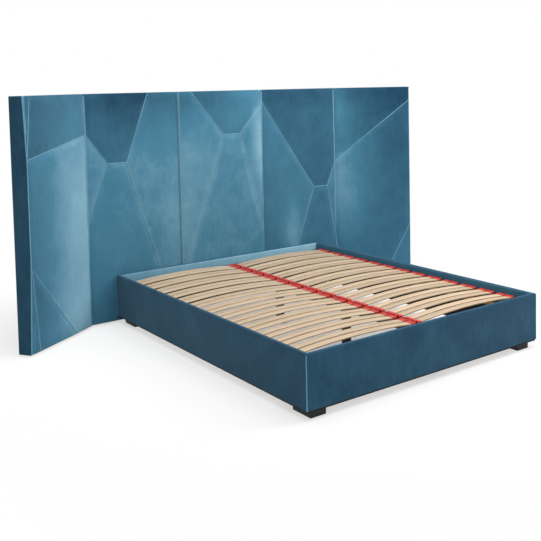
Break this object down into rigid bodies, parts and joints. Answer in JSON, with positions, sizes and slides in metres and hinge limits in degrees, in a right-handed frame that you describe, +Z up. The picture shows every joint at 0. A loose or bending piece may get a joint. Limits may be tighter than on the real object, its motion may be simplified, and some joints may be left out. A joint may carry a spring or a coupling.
{
  "type": "wingback bed",
  "caption": "Double bed with a wide faceted velvet headboard whose end panels angle forward, a low upholstered box and a lift-out base of bowed twin slats in red end caps",
  "frame": {"origin": "on the floor, at the centre of the bed's outline", "axes": "+X to the right seen from the foot, +Y toward the headboard, +Z up"},
  "size_m": [3.119, 2.172, 1.512],
  "materials": {
    "velvet": "cut velvet, petrol blue",
    "backing_board": "board faced with black lining cloth",
    "rail_board": "board with a black edge",
    "frame_timber": "planed softwood",
    "black_block": "black lacquer",
    "black_steel": "satin powder coat",
    "black_plastic": "moulded, fine grain",
    "red_plastic": "moulded, satin",
    "beech_laminate": "clear coated laminated beech",
    "glide_plastic": "nail-on glide",
    "zinc_steel": "zinc plated",
    "zinc_fastener": "zinc plated"
  },
  "bodies": {
    "bed": {"headboard_left_pad": "velvet", "headboard_middle_pad": "velvet", "headboard_right_pad": "velvet", "left_wing_pad": "velvet", "right_wing_pad": "velvet", "headboard_left_board": "backing_board", "headboard_middle_board": "backing_board", "headboard_right_board": "backing_board", "left_wing_board": "backing_board", "right_wing_board": "backing_board", "headboard_glides": "glide_plastic", "joining_plates": "zinc_steel", "wing_plates": "zinc_steel", "plate_screws": "zinc_fastener", "headboard_bolts": "zinc_fastener", "foot_rail_cover": "velvet", "head_rail_cover": "velvet", "left_rail_cover": "velvet", "right_rail_cover": "velvet", "foot_rail_board": "rail_board", "head_rail_board": "rail_board", "left_rail_board": "rail_board", "right_rail_board": "rail_board", "foot_left_corner_block": "frame_timber", "foot_right_corner_block": "frame_timber", "head_left_corner_block": "frame_timber", "head_right_corner_block": "frame_timber", "foot_left_foot": "black_block", "foot_right_foot": "black_block", "head_left_foot": "black_block", "head_right_foot": "black_block", "foot_ledger": "frame_timber", "head_ledger": "frame_timber", "left_ledger": "frame_timber", "right_ledger": "frame_timber"},
    "slat_base": {"left_side_bar": "black_steel", "right_side_bar": "black_steel", "foot_cross_bar": "black_steel", "head_cross_bar": "black_steel", "centre_beam": "black_steel", "foot_centre_leg": "black_plastic", "head_centre_leg": "black_plastic", "left_side_caps": "red_plastic", "left_beam_caps": "red_plastic", "right_beam_caps": "red_plastic", "right_side_caps": "red_plastic", "slat_row_01": "beech_laminate", "slat_row_02": "beech_laminate", "slat_row_03": "beech_laminate", "slat_row_04": "beech_laminate", "slat_row_05": "beech_laminate", "slat_row_06": "beech_laminate", "slat_row_07": "beech_laminate", "slat_row_08": "beech_laminate", "slat_row_09": "beech_laminate", "slat_row_10": "beech_laminate", "slat_row_11": "beech_laminate", "slat_row_12": "beech_laminate", "slat_row_13": "beech_laminate"}
  },
  "joints": [
    {"name": "base_lift", "type": "slide", "parent": "bed", "child": "slat_base", "axis": [0, 0, 1], "range_m": [0, 0.34]}
  ]
}
